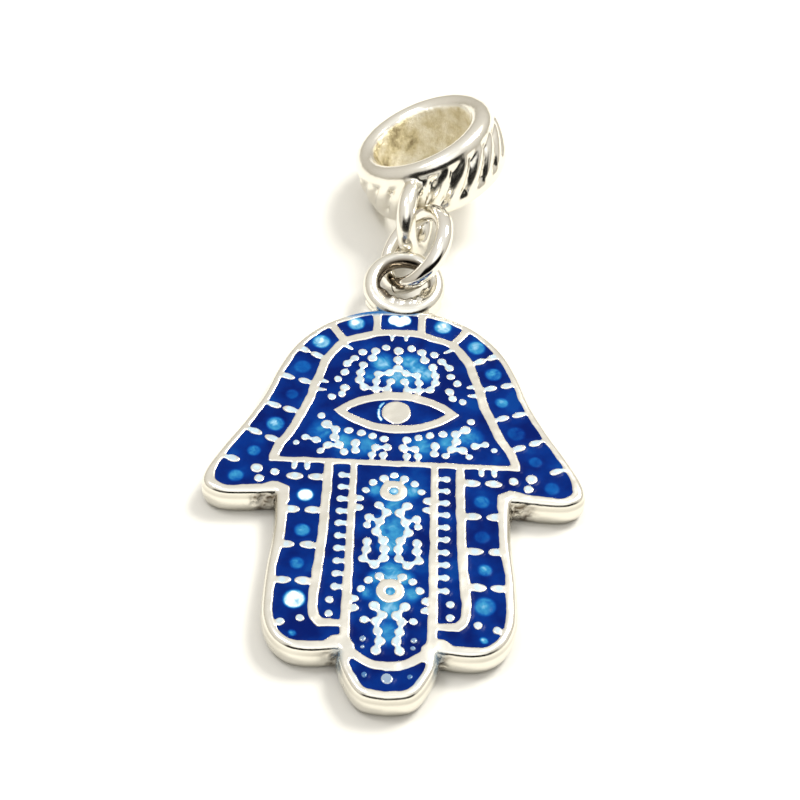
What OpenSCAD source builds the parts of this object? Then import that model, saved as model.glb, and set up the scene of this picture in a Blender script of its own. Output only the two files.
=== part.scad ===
// Hamsa pendant: an enamelled cast hand on a jump ring, hung from a ribbed carrier bead.
// It lies on its back. The origin is on the hand's flat back, straight below the middle of the eye.
// +X is the hand's right as seen, +Y points from the eye to the loop, +Z up from the surface.

/* [Hand plate] */
// Full width across the two thumbs
hand_w = 16.2; // [13:0.1:22]
// Full length from the top of the dome to the tip of the middle finger
hand_l = 20.95; // [17:0.05:28]
// Thickness of the casting
plate_t = 1.4; // [1.1:0.05:2.5]
// Depth of the enamel cells
cell_d = 0.35; // [0.25:0.01:0.6]
// Width of the outer rim
rim_w = 0.37; // [0.25:0.01:0.5]
// Width of the frame and finger lines
line_w = 0.4; // [0.25:0.01:0.5]
// Width of the two walls beside the crown cell
wall_w = 0.3; // [0.2:0.01:0.4]

/* [Raised ornament] */
// Diameter of a common dot
dot_d = 0.4; // [0.3:0.01:0.5]
// Width of the dashes that cross the outer band
dash_w = 0.3; // [0.2:0.01:0.4]
// Length of a dash across the band
dash_l = 0.55; // [0.45:0.01:0.62]
// Width of the dashes that cross the side fingers
tab_w = 0.35; // [0.25:0.01:0.45]
// Width of the small bars that join dots to a line
bar_w = 0.16; // [0.12:0.01:0.25]
// Outer diameter of the two rings in the middle finger
donut_d = 1.14; // [0.9:0.01:1.3]
// Hole of the two rings in the middle finger
donut_hole = 0.4; // [0.3:0.01:0.6]
// Depth of enamel that covers the low dots
cover = 0.1; // [0.08:0.01:0.15]

/* [Eye] */
// Width of the eye's opening between the lid's inner corners
eye_w = 4.4; // [3.6:0.1:5]
// Height of the eye's opening
eye_h = 1.5; // [1.4:0.05:1.8]
// Thickness of the lid above and below the opening
lid_w = 0.45; // [0.3:0.01:0.5]
// How far the lid's corners reach past the opening
lid_corner = 0.57; // [0.4:0.01:0.7]
// Diameter of the pupil
pupil_d = 1.3; // [0.9:0.05:1.35]

/* [Enamel] */
// Clearance between enamel and metal, at the walls and beneath
fit = 0.02; // [0.01:0.005:0.03]
// How far the enamel stays below the top of the lines
enamel_drop = 0.05; // [0.02:0.01:0.1]

/* [Plate loop] */
// Diameter of the round metal of the plate's loop
loop_wire = 0.78; // [0.6:0.01:0.85]
// Diameter of the loop measured to the middle of its metal
loop_mid_d = 3.0; // [2.9:0.05:3.4]
// How much the loop leans up from the plate
loop_lean = 10; // [9:0.5:13]
// Height of the middle of the loop's metal above the surface, where it leaves the dome
loop_z = 1.2; // [1.15:0.01:1.3]
// How far the loop sits right of the middle
loop_shift = 0.14; // [0:0.01:0.3]

/* [Jump ring] */
// Wire diameter
ring_wire = 0.82; // [0.7:0.01:0.86]
// Inside diameter
ring_in_d = 3.08; // [3:0.02:3.2]
// Width of the split seam
seam_w = 0.05; // [0.03:0.01:0.12]

/* [Carrier bead] */
// Diameter of the bore
bore_d = 5; // [4.4:0.1:5.2]
// Length of the bead along its bore
bead_l = 3.1; // [2.8:0.1:4]
// Diameter of the round lips
lip_d = 1.1; // [0.8:0.05:1.2]
// Wall between the bore and the ground between the ribs
bead_wall = 0.85; // [0.7:0.05:1]
// How far the ribs stand above their ground
rib_out = 0.45; // [0.2:0.05:0.5]
// Number of slanted ribs
rib_n = 21; // [16:1:22]
// Thickness of a rib
rib_d = 0.7; // [0.5:0.05:0.75]
// Slant of the ribs away from the bore's direction
rib_slant = 43; // [30:1:50]
// Diameter of the round metal of the bead's loop
hook_wire = 0.95; // [0.7:0.05:1]
// Diameter of the bead's loop measured to the middle of its metal
hook_mid_d = 3; // [2.8:0.05:3.1]
// How far the middle of the bead's loop lies outside the ribs
hook_out = 0.35; // [0.3:0.05:0.5]
// How far the middle of the bead's loop lies above the bead's lower end
hook_rise = 0.75; // [0.6:0.05:0.9]

/* [Hidden] */

$fn = 32;
// Steps of a curve between two of its chosen points
curve_n = 4;

// Places on the hand are counted in parts from the middle of the eye
parts_w = 1620;
parts_l = 2095;
part_x = hand_w / parts_w;
part_y = hand_l / parts_l;
cell_z = plate_t - cell_d;
enamel_top = plate_t - enamel_drop;

function at(p) = [p.x * part_x, p.y * part_y];
function places(list) = [for (p = list) at(p)];
function backwards(list) = [for (i = [len(list) - 1:-1:0]) list[i]];

// A smooth open curve through the given points
function curve(p) = concat(
    [for (i = [0:len(p) - 2]) for (k = [0:curve_n - 1])
        let (t = k / curve_n, a = p[max(i - 1, 0)], b = p[i], c = p[i + 1],
             d = p[min(i + 2, len(p) - 1)])
        (2 * b + (c - a) * t + (2 * a - 5 * b + 4 * c - d) * t * t + (3 * b - a - 3 * c + d) * t * t * t) / 2],
    [p[len(p) - 1]]);

// The right half of a closed outline, from top to bottom, completed by its mirror image
function both_halves(right) = concat(right,
    [for (p = backwards(right)) if (abs(p.x) > 0.0001) [-p.x, p.y]]);

// Unit vector to the right of the way from a to b
function right_of(a, b) = let (d = (b - a) / norm(b - a)) [d.y, -d.x];

// A clockwise closed outline moved inward by w, outward where w is negative
function inset(p, w) = [for (i = [0:len(p) - 1])
    let (n = len(p), m = right_of(p[(i + n - 1) % n], p[i]), k = right_of(p[i], p[(i + 1) % n]))
    p[i] + w * (m + k) / (1 + m * k)];

// A pointed oval of two equal arcs, clockwise from its left corner
function almond(a, h) =
    let (r = (a * a + h * h) / (2 * h), half = asin(a / r), n = 14,
         top = [for (k = [0:n]) let (t = -half + 2 * half * k / n) [r * sin(t), h - r + r * cos(t)]])
    concat(top, [for (k = [n - 1:-1:1]) [top[k].x, -top[k].y]]);

// Outline of the hand, in parts: dome, flank and thumb down to the notch, then side finger, then tip
flank = [[0, 640], [150, 630], [300, 566], [400, 485], [480, 380], [540, 240], [590, 80],
         [665, -85], [740, -225], [800, -355], [805, -430], [760, -472], [680, -486], [495, -472]];
side_finger = [[495, -472], [488, -650], [503, -860], [505, -1060], [475, -1150], [440, -1205],
               [385, -1242], [300, -1246], [193, -1235]];
middle_tip = [[193, -1235], [187, -1290], [172, -1335], [130, -1408], [82, -1443], [0, -1455]];
outline = both_halves(concat(
    curve(places(flank)),
    [for (p = curve(places(side_finger))) if (p != at(side_finger[0])) p],
    [for (p = curve(places(middle_tip))) if (p != at(middle_tip[0])) p]));

// Middle lines of the raised lines, in parts
frame_way = [[0, 490], [90, 485], [160, 458], [240, 428], [290, 365], [325, 300], [345, 225],
             [368, 144], [385, 60], [410, -10], [455, -130], [500, -215], [522, -292]];
strip_way = [[280, -292], [285, -650], [300, -920], [305, -1020], [298, -1080], [270, -1115]];
finger_way = [[172, -292], [172, -1180], [150, -1235], [100, -1278], [50, -1300], [0, -1306]];
line_b = finger_way[0].x;
palm_ring = both_halves(curve(places(frame_way)));
strip_ring = concat(curve(places(strip_way)), places([[line_b, strip_way[5].y], finger_way[0]]));
finger_ring = both_halves(concat([at(finger_way[0])],
    curve(places([for (i = [1:len(finger_way) - 1]) finger_way[i]]))));

// Walls of the outer band, in parts: half width of the crown cell, and the ends of the next wall
crown_x = 107;
band_wall = [[245, 425], [335, 545]];
// Lowest y of the band cell and highest y of the fingertip cell, in parts
band_end = -1250;
tip_start = -1285;
// Dash pairs of the outer band, in parts: x and y at the rim, x and y at the frame
dashes = [[430, 360, 370, 328], [490, 188, 415, 166], [538, 15, 468, -8], [606, -144, 535, -177]];
lone_dash = [690, -300, 640, -320];
// Dash pairs of the side finger, in parts: x at the rim, x at the line, y
tabs = [[422, 330, -382], [425, 332, -560], [432, 340, -740], [437, 350, -920]];
tab_l = 0.68;

// Dots, in parts: x, y, and diameter in hundredths of a common dot
palm_dots = [
    [58, 392, 100], [105, 370, 105], [163, 358, 105], [197, 318, 100], [232, 281, 100], [238, 229, 100],
    [267, 187, 95], [234, 137, 108], [245, 95, 95], [290, 77, 90],
    [118, 322, 112], [157, 280, 105], [168, 230, 105], [169, 185, 105], [147, 142, 105],
    [0, 375, 112], [0, 319, 115], [0, 265, 115],
    [38, 237, 100], [87, 227, 100], [95, 181, 100], [96, 135, 100], [30, 184, 100], [45, 135, 100],
    [328, -36, 90], [303, -85, 120], [260, -112, 108], [265, -156, 108], [292, -203, 105],
    [242, -200, 100], [218, -238, 90], [320, -238, 82], [390, -164, 88], [343, -177, 100],
    [428, -196, 70], [205, -115, 95], [150, -127, 95], [100, -142, 95], [173, -185, 105],
    [170, -228, 100], [50, -156, 95], [35, -203, 105], [84, -206, 100], [98, -247, 90], [50, -247, 90]];
finger_dots = [
    [0, -357, 88], [43, -376, 100], [89, -400, 90], [118, -442, 82],
    [60, -520, 105], [28, -558, 105], [53, -607, 105], [97, -587, 105], [105, -627, 90],
    [67, -660, 108], [35, -703, 108], [28, -747, 108], [30, -792, 108], [68, -825, 108],
    [103, -712, 90], [102, -753, 90], [113, -800, 88],
    [46, -884, 105], [90, -905, 90], [117, -948, 90],
    [62, -1027, 112], [28, -1070, 105], [50, -1100, 105], [43, -1147, 105], [32, -1192, 105],
    [47, -1235, 105], [98, -1095, 90], [101, -1183, 62], [97, -1220, 45]];
tip_dots = [[85, -1340, 62], [0, -1362, 112]];
thumb_dots = [[585, -348, 125], [570, -402, 105], [507, -364, 105], [352, -1100, 88], [427, -1120, 88]];
// Small bars that join a dot to a line, in parts: x and y of the dot, x and y on the line
palm_bars = [[210, 375, 250, 400], [315, 167, 355, 172], [320, 117, 372, 120], [33, 442, 33, 480],
             [390, -164, 343, -177], [98, -247, 98, -285], [50, -247, 50, -285]];
finger_bars = [[130, -488, 160, -488], [129, -537, 160, -537], [130, -996, 160, -996],
               [130, -1042, 160, -1042]];
finger_bar_w = 0.34;
base_stubs = [[427, -305, 427, -335], [372, -305, 372, -335]];
// Rings of the middle finger, in parts along it
donuts = [-443, -953];
// Dots that the enamel covers, in parts: x, y, and diameter in hundredths of a common dot
low_dots = [[200, 540, 200], [355, 416, 205], [430, 255, 190], [465, 85, 145], [525, -92, 200],
            [605, -250, 145], [670, -392, 165], [370, -480, 165], [371, -665, 165], [382, -832, 145],
            [380, -1008, 220], [375, -1172, 75]];
crown_dot = [0, 568, 150];
// Row of the strip dots, in parts: x, x of the last two, first y, step, and how many
strip_x = 222;
strip_end_x = 240;
strip_y = -367;
strip_step = -64;
strip_n = 12;
// The row's dots are half as wide as their step
strip_dot_d = -strip_step * part_y / 2;

// Where the loops and the ring lie, in the hand's frame
dome_y = at(flank[0]).y;
// How far the middle of the loop's metal lies past the dome's edge
loop_past = 0.05;
loop_y = dome_y + loop_past;
loop_r = loop_mid_d / 2;
loop_place = [loop_shift, loop_y + loop_r * cos(loop_lean), loop_z + loop_r * sin(loop_lean)];
ring_r = (ring_in_d + ring_wire) / 2;
// The ring hangs in the far arc of the plate's loop: its middle seen from there, its lean and heading
loop_far = loop_place + loop_r * [0, cos(loop_lean), sin(loop_lean)];
ring_from_far = [0.48, 0.29, 0.5];
ring_place = loop_far + ring_from_far;
ring_lean = 48.1;
ring_heading = 186.4;
seam_turn = 47;

bore_r = bore_d / 2;
lip_r = lip_d / 2;
ground_r = bore_r + bead_wall;
bead_r = ground_r + rib_out;
rib_ring_r = bead_r - rib_d / 2;
rib_l = (bead_l - 2 * lip_d) / cos(rib_slant) + rib_d / 2;
bead_lean = 26.35;
bead_heading = 158.6;
hook_turn = 98;
hook_roll = -15;
hook_r = hook_mid_d / 2;
// The bead stands on the edge of its lower lip, beyond the ring and a little to its right
bead_right = 0.62;
bead_beyond = 0.4;
floor_gap = 0.02;
bead_xy = [ring_place.x + bead_right, ring_place.y + ring_r + bead_r + bead_beyond];
bead_z = cos(bead_lean) * (bead_l / 2 - lip_r) + sin(bead_lean) * (bore_r + lip_r) + lip_r + floor_gap;

// Dots on both sides of the middle line, or on it
module dots(rows, grow) {
    for (p = rows) for (s = (p.x == 0 ? [1] : [-1, 1])) translate([s * at(p).x, at(p).y])
        circle(d = dot_d * p[2] / 100 + 2 * grow);
}

// A bar with round ends from a to b
module bar(a, b, w, grow) {
    d = b - a;
    translate(a) rotate(atan2(d.y, d.x)) {
        translate([0, -w / 2 - grow]) square([norm(d), w + 2 * grow]);
        circle(d = w + 2 * grow);
        translate([norm(d), 0]) circle(d = w + 2 * grow);
    }
}

module bars(rows, w, grow) {
    for (p = rows) for (s = [-1, 1]) mirror([s > 0 ? 0 : 1, 0])
        bar(at([p[0], p[1]]), at([p[2], p[3]]), w, grow);
}

// A dash of length l about p, lying along the way d
module dash(p, d, l, w, grow) {
    half = d / norm(d) * (l - w) / 2;
    bar(p - half, p + half, w, grow);
}

module lid_outline(grow) {
    polygon(inset(almond(eye_w / 2 + lid_corner, eye_h / 2 + lid_w), -grow));
}

module crown_cell(grow) {
    x = crown_x * part_x - wall_w / 2 - grow;
    difference() {
        polygon(inset(outline, rim_w + grow));
        polygon(inset(palm_ring, -line_w / 2 - grow));
        for (s = [-1, 1]) translate([s * (x + hand_w), dome_y]) square([2 * hand_w, dome_y], center = true);
        translate([-hand_w, -hand_l]) square([2 * hand_w, hand_l + dome_y / 2]);
    }
}

module band_cell(side, grow) {
    x = crown_x * part_x + wall_w / 2 + grow;
    mirror([side > 0 ? 0 : 1, 0]) difference() {
        polygon(inset(outline, rim_w + grow));
        polygon(inset(palm_ring, -line_w / 2 - grow));
        polygon(inset(strip_ring, -line_w / 2 - grow));
        polygon(inset(finger_ring, -line_w / 2 - grow));
        translate([x - 2 * hand_w, 0]) square([2 * hand_w, hand_w]);
        translate([-2 * hand_w, -2 * hand_l]) square([2 * hand_w, 3 * hand_l]);
        translate([-hand_w / 2, at([0, band_end]).y - hand_l]) square([hand_w, hand_l]);
        bar(at(band_wall[0]), at(band_wall[1]), wall_w, grow);
        for (p = dashes) {
            across = at([p[0] - p[2], p[1] - p[3]]);
            dash(at([p[0], p[1]]), across, dash_l, dash_w, grow);
            dash(at([p[2], p[3]]), across, dash_l, dash_w, grow);
        }
        dash(at([lone_dash[0], lone_dash[1]]),
             at([lone_dash[0] - lone_dash[2], lone_dash[1] - lone_dash[3]]), dash_l, dash_w, grow);
        for (p = tabs) for (x = [p[0], p[1]]) dash(at([x, p[2]]), [1, 0], tab_l, tab_w, grow);
        for (p = thumb_dots) translate(at(p)) circle(d = dot_d * p[2] / 100 + 2 * grow);
        for (p = base_stubs) bar(at([p[0], p[1]]), at([p[2], p[3]]), bar_w, grow);
    }
}

module palm_cell(grow) {
    difference() {
        polygon(inset(palm_ring, line_w / 2 + grow));
        lid_outline(grow);
        dots(palm_dots, grow);
        bars(palm_bars, bar_w, grow);
    }
}

module eye_cell(grow) {
    difference() {
        polygon(inset(almond(eye_w / 2, eye_h / 2), grow));
        circle(d = pupil_d + 2 * grow);
    }
}

module strip_cell(side, grow) {
    mirror([side > 0 ? 0 : 1, 0]) difference() {
        polygon(inset(strip_ring, line_w / 2 + grow));
        for (i = [0:strip_n - 1]) {
            p = at([i < strip_n - 2 ? strip_x : strip_end_x, strip_y + i * strip_step]);
            translate(p) circle(d = strip_dot_d + 2 * grow);
            bar([at([line_b, 0]).x, p.y], p, bar_w, grow);
        }
    }
}

module finger_cell(grow) {
    difference() {
        polygon(inset(finger_ring, line_w / 2 + grow));
        dots(finger_dots, grow);
        bars(finger_bars, finger_bar_w, grow);
        for (y = donuts) translate(at([0, y])) difference() {
            circle(d = donut_d + 2 * grow);
            circle(d = donut_hole - 2 * grow);
        }
    }
}

module tip_cell(grow) {
    difference() {
        polygon(inset(outline, rim_w + grow));
        polygon(inset(finger_ring, -line_w / 2 - grow));
        translate([-hand_w, at([0, tip_start]).y]) square([2 * hand_w, 2 * hand_l]);
        dots(tip_dots, grow);
    }
}

// Cylinders that stand under the enamel, in the plate and, a little wider, as pockets in the glass
module covered_dots(rows, top, grow) {
    root = cell_z - cell_d / 4;
    for (p = rows) for (s = (p.x == 0 ? [1] : [-1, 1])) translate([s * at(p).x, at(p).y, root])
        cylinder(d = dot_d * p[2] / 100 + 2 * grow, h = top - root);
}

module glass() {
    translate([0, 0, cell_z + fit]) linear_extrude(enamel_top - cell_z - fit) children();
}

module band_glass(side) {
    difference() {
        glass() band_cell(side, fit);
        covered_dots(low_dots, enamel_top - cover + fit, fit);
    }
}

module plate_loop() {
    translate(loop_place) rotate([loop_lean, 0, 0])
        rotate_extrude() translate([loop_r, 0]) circle(d = loop_wire);
    // Shoulders that blend the loop into the dome
    difference() {
        translate([loop_place.x, loop_place.y, plate_t / 3])
            cylinder(r = loop_r + loop_wire / 2, h = plate_t * 2 / 3);
        translate([loop_place.x, loop_place.y, 0])
            cylinder(r = loop_r - loop_wire / 2, h = 2 * plate_t);
        translate([-hand_w, loop_place.y - loop_r / 3, 0]) cube([2 * hand_w, hand_l, 2 * plate_t]);
    }
}

module hamsa_plate() {
    color("silver") {
        difference() {
            linear_extrude(plate_t) polygon(outline);
            translate([0, 0, cell_z]) linear_extrude(plate_t) {
                crown_cell(0);
                band_cell(-1, 0);
                band_cell(1, 0);
                palm_cell(0);
                eye_cell(0);
                strip_cell(-1, 0);
                strip_cell(1, 0);
                finger_cell(0);
                tip_cell(0);
            }
        }
        covered_dots(low_dots, enamel_top - cover, 0);
        covered_dots([crown_dot], enamel_top - cover, 0);
        plate_loop();
    }
}

module jump_ring() {
    color("gainsboro") translate(ring_place) rotate([0, ring_lean, ring_heading]) difference() {
        rotate_extrude() translate([ring_r, 0]) circle(d = ring_wire);
        rotate(seam_turn) translate([ring_r, 0, 0])
            cube([2 * ring_wire, seam_w, 2 * ring_wire], center = true);
    }
}

module bead_rib() {
    translate([rib_ring_r, 0, 0]) rotate([-rib_slant, 0, 0]) translate([0, 0, -rib_l / 2]) {
        cylinder(d = rib_d, h = rib_l);
        sphere(d = rib_d);
        translate([0, 0, rib_l]) sphere(d = rib_d);
    }
}

module carrier_bead() {
    color("gainsboro") translate([bead_xy.x, bead_xy.y, bead_z])
        rotate([0, bead_lean, bead_heading]) difference() {
        union() {
            for (s = [-1, 1]) translate([0, 0, s * (bead_l / 2 - lip_r)])
                rotate_extrude() translate([bore_r + lip_r, 0]) circle(d = lip_d);
            rotate_extrude() translate([bore_r - lip_r / 2, lip_r - bead_l / 2])
                square([bead_wall + lip_r / 2, bead_l - lip_d]);
            for (i = [0:rib_n - 1]) rotate(i * 360 / rib_n) bead_rib();
            rotate(hook_turn) translate([bead_r + hook_out, 0, hook_rise - bead_l / 2])
                rotate([90 + hook_roll, 0, 0])
                rotate_extrude() translate([hook_r, 0]) circle(d = hook_wire);
        }
        translate([0, 0, -bead_l]) cylinder(d = bore_d, h = 2 * bead_l, $fn = 64);
    }
}

module enamel_crown() {
    color("mediumblue") difference() {
        glass() crown_cell(fit);
        covered_dots([crown_dot], enamel_top - cover + fit, fit);
    }
}

module enamel_band_left() {
    color("mediumblue") band_glass(-1);
}

module enamel_band_right() {
    color("mediumblue") band_glass(1);
}

module enamel_palm() {
    color("mediumblue") glass() palm_cell(fit);
}

module enamel_eye() {
    color("mediumblue") glass() eye_cell(fit);
}

module enamel_strip_left() {
    color("mediumblue") glass() strip_cell(-1, fit);
}

module enamel_strip_right() {
    color("mediumblue") glass() strip_cell(1, fit);
}

module enamel_middle_finger() {
    color("mediumblue") glass() finger_cell(fit);
}

module enamel_fingertip() {
    color("mediumblue") glass() tip_cell(fit);
}

hamsa_plate();
enamel_crown();
enamel_band_left();
enamel_band_right();
enamel_palm();
enamel_eye();
enamel_strip_left();
enamel_strip_right();
enamel_middle_finger();
enamel_fingertip();
jump_ring();
carrier_bead();
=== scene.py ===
# %% [markdown]
# # An enamelled hamsa pendant on its carrier bead
# The pendant is a flat hand, cast in a zinc alloy and plated bright. Its cells are filled with blue
# enamel, out of which lines and dots of metal stand. A jump ring links the loop at its top to a
# ribbed bead that slides on a bracelet. The imported solids give every place and size, so the first
# step loads them.

# %% Load the frame
from math import acos, asin, atan2, cos, hypot, pi, radians, sin

import bpy
import numpy as np
from mathutils import Matrix, Vector
from mathutils.bvhtree import BVHTree
from mathutils.geometry import delaunay_2d_cdt


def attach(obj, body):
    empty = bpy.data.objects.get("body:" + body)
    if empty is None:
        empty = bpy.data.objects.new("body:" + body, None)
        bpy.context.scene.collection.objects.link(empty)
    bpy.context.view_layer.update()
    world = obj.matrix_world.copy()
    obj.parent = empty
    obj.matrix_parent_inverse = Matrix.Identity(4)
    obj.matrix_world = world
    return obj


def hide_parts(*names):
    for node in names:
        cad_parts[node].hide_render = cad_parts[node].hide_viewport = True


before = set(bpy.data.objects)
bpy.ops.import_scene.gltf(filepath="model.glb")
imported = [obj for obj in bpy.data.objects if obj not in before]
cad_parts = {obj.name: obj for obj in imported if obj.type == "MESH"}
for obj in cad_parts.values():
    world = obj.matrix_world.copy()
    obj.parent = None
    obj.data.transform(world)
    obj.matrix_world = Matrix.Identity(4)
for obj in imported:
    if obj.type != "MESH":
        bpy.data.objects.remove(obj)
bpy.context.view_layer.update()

print("nodes:", sorted(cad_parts))

# %% [markdown]
# ## Millimetres, meshes and nodes
# The pendant is 34 mm long, so it is drawn in millimetres and each finished mesh is brought to
# metres at the very end. A few helpers serve all that follows. They make a mesh and write on it,
# add a node with its settings and links, start a Geometry Nodes tree with named inputs, and put it
# on an object to keep what it makes as a plain mesh.

# %% Helpers
MM = 0.001


def into_scene(name, data):
    """An object for a mesh, a light or a camera."""
    obj = bpy.data.objects.new(name, data)
    bpy.context.scene.collection.objects.link(obj)
    return obj


def make_mesh(name, points, faces=(), edges=()):
    """A mesh object in millimetres from points, faces and edges."""
    mesh = bpy.data.meshes.new(name)
    mesh.from_pydata([tuple(p) for p in points], list(edges), [tuple(f) for f in faces])
    return into_scene(name, mesh)


def put_attribute(obj, name, values):
    """Writes a number or a vector for each point, for a node tree or a material to read."""
    kind, key = ("FLOAT", "value") if np.ndim(values) == 1 else ("FLOAT_VECTOR", "vector")
    attribute = obj.data.attributes.new(name, kind, "POINT")
    attribute.data.foreach_set(key, np.asarray(values, np.float32).ravel())


def feed(node, inputs):
    """Sets each input of a node to a value, or links it to what feeds it."""
    for key, value in inputs.items():
        if isinstance(value, bpy.types.Node):
            value = value.outputs[0]
        if isinstance(value, bpy.types.NodeSocket):
            node.id_data.links.new(value, node.inputs[key])
        else:
            node.inputs[key].default_value = value


def add(tree, kind, inputs=None, **settings):
    """Adds one node, with its settings by name and its inputs fed."""
    node = tree.nodes.new(kind)
    for name, value in settings.items():
        setattr(node, name, value)
    feed(node, inputs or {})
    return node


def maths(tree, operation, a, b):
    """One step of arithmetic."""
    return add(tree, "ShaderNodeMath", {0: a, 1: b}, operation=operation)


def vectors(tree, operation, a, b):
    """The same for vectors."""
    return add(tree, "ShaderNodeVectorMath", {0: a, 1: b}, operation=operation)


def times(tree, product, *factors):
    """The product of several values."""
    for factor in factors:
        product = maths(tree, "MULTIPLY", product, factor)
    return product


def ranged(tree, value, low, high, start=0.0, end=1.0, kind="LINEAR"):
    """Turns low to high of a value into start to end, and holds it there outside."""
    return add(tree, "ShaderNodeMapRange", {0: value, 1: low, 2: high, 3: start, 4: end},
               interpolation_type=kind)


def stored(tree, name, kind="FLOAT"):
    """An attribute of the mesh, for a Geometry Nodes tree."""
    return add(tree, "GeometryNodeInputNamedAttribute", {"Name": name}, data_type=kind)


def new_tree(name, **inputs):
    """A Geometry Nodes tree with geometry, material and more inputs, named under their kinds."""
    tree = bpy.data.node_groups.new(name, "GeometryNodeTree")
    for kind, labels in {"Geometry": "geometry", "Material": "material", **inputs}.items():
        for label in labels.split():
            tree.interface.new_socket(label, in_out="INPUT", socket_type="NodeSocket" + kind)
    tree.interface.new_socket("geometry", in_out="OUTPUT", socket_type="NodeSocketGeometry")
    return tree, tree.nodes.new("NodeGroupInput").outputs


def close_tree(tree, given, geometry):
    """Ends a tree in real geometry with its material."""
    real = add(tree, "GeometryNodeRealizeInstances", {0: geometry})
    coated = add(tree, "GeometryNodeSetMaterial", {0: real, "Material": given["material"]})
    add(tree, "NodeGroupOutput", {0: coated})


def bake(obj):
    """Replaces the object's mesh by what its modifiers make of it."""
    graph = bpy.context.evaluated_depsgraph_get()
    graph.update()
    made = bpy.data.meshes.new_from_object(
        obj.evaluated_get(graph), preserve_all_data_layers=True, depsgraph=graph)
    obj.modifiers.clear()
    obj.data = made
    return obj


def run_tree(obj, tree, **values):
    """Puts the tree on the object, sets its inputs by their identifiers, and bakes the result."""
    modifier = obj.modifiers.new(tree.name, "NODES")
    modifier.node_group = tree
    ids = {s.name: s.identifier for s in tree.interface.items_tree if s.in_out == "INPUT"}
    for name, value in values.items():
        modifier[ids[name]] = value
    return bake(obj)


# %% [markdown]
# ## Colours and scales
# Colours are picked as sRGB hex values and turned to the linear values that a shader wants. Object
# coordinates are in metres here, so a pattern's scale is worked out from its real size, and a
# bump's height is given in millimetres too.

# %% Colours, noises and bumps
def colour(hexa):
    """Linear colour with alpha from an sRGB hex value such as #1a2b3c."""
    parts = [int(hexa[i:i + 2], 16) / 255 for i in (1, 3, 5)]
    return (*[c / 12.92 if c <= 0.04045 else ((c + 0.055) / 1.055) ** 2.4 for c in parts], 1)


def mix(tree, share, *pair):
    """A blend of two colours, each a hex value or what feeds it."""
    one, other = (colour(c) if isinstance(c, str) else c for c in pair)
    return add(tree, "ShaderNodeMix", {0: share, 6: one, 7: other}, data_type="RGBA").outputs[2]


def ramp(tree, value, stops):
    """A colour ramp through places and their hex colours."""
    node = add(tree, "ShaderNodeValToRGB", {0: value})
    elements = node.color_ramp.elements
    for end, (place, hexa) in zip((elements[0], elements[1]), (stops[0], stops[-1])):
        end.position, end.color = place, colour(hexa)
    for place, hexa in stops[1:-1]:
        elements.new(place).color = colour(hexa)
    return node


def noise(tree, size_mm, detail, **more):
    """A noise on Object coordinates whose grains are this many millimetres apart."""
    where = add(tree, "ShaderNodeTexCoord").outputs["Object"]
    return add(tree, "ShaderNodeTexNoise",
               {"Vector": where, "Scale": 1 / (size_mm * MM), "Detail": detail, **more})


def bump(tree, height, depth_mm, **more):
    """A bump that is this many millimetres deep where its height is 1."""
    return add(tree, "ShaderNodeBump", {"Distance": depth_mm * MM, "Height": height, **more})


def painted(tree, name):
    """An attribute of the mesh, for a material."""
    return add(tree, "ShaderNodeAttribute", attribute_name=name).outputs["Fac"]


def new_material(name):
    """A material with its tree and shader."""
    material = bpy.data.materials.new(name)
    material.use_nodes = True
    return material, material.node_tree, material.node_tree.nodes["Principled BSDF"]


# %% [markdown]
# ## Bright plating on a casting
# The metal is a zinc alloy casting with a thin bright plating, warm rather than steely. Casting and
# tumbling leave it softly uneven, so its reflections swim. Polished metal shows what is round it:
# under white soft light its tops look almost white and its turned sides carry dark streaks.

# %% Plated metal material
def plated(name, tint, roughness, lump_mm, lump, grain):
    """Bright plating: lump is the height of the cast unevenness, grain that of the fine texture."""
    material, tree, shader = new_material(name)
    cloud = noise(tree, 1.6, 4.0)
    tone = mix(tree, cloud, *tint)
    soft = bump(tree, noise(tree, lump_mm, 3.0), lump)
    feed(shader, {"Base Color": tone, "Metallic": 1.0,
                  "Roughness": ranged(tree, cloud, 0.3, 0.7, roughness * 0.7, roughness * 1.5),
                  "Normal": bump(tree, noise(tree, 0.11, 2.0), grain, Normal=soft)})
    return material, tree, shader, tone


wire = plated("bright plated drawn wire", ("#f2efe7", "#e8e3d8"), 0.09, 1.4, 0.012, 0.0003)[0]
casting, tree, shader, tone = plated(
    "bright plated zinc casting", ("#f3f0e6", "#e2ded2"), 0.2, 0.7, 0.014, 0.0012)

# %% [markdown]
# Small dots and dashes kept a thin veil of enamel when the plate was wiped, and smears of it stayed
# on the rim and at the fingertip. A brown painted shade darkens the corners. All three are
# attributes of the mesh, because they belong to places and not to a pattern. Veil and smear are
# glass over metal: where they lie, the surface is a blue gloss instead of a mirror.

# %% Veil, smear and painted shade on the casting
# The brown mixed into the metal's colour here is painted shade: under the rim, at the wall's foot,
# in the notches and in the loop's eye.
feed(shader, {"Base Color": mix(tree, painted(tree, "painted_shade"), tone, "#4a3a24")})
smear, patchy = painted(tree, "smear"), noise(tree, 0.45, 2.0)
pale = mix(tree, patchy, "#7eabc8", "#cfdfe4")
glaze = add(tree, "ShaderNodeBsdfPrincipled", {"Base Color": mix(tree, smear, pale, "#105890"),
                                               "Roughness": 0.2, "Specular IOR Level": 0.2})
veiled = times(tree, painted(tree, "veil"), ranged(tree, patchy, 0.35, 0.6, 0.5, 0.95))
share = maths(tree, "MAXIMUM", veiled, smear)
both = add(tree, "ShaderNodeMixShader", {0: share, 1: shader, 2: glaze})
feed(tree.nodes["Material Output"], {"Surface": both})

# %% [markdown]
# ## Cobalt enamel
# Enamel is coloured glass with a fired gloss. Where it is deep it is a strong cobalt, and where it
# runs thin over metal it turns azure and then almost white. The mesh carries that as its thin
# attribute. A fine noise breaks the patches up, and a shallow orange peel keeps the gloss alive.

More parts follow.
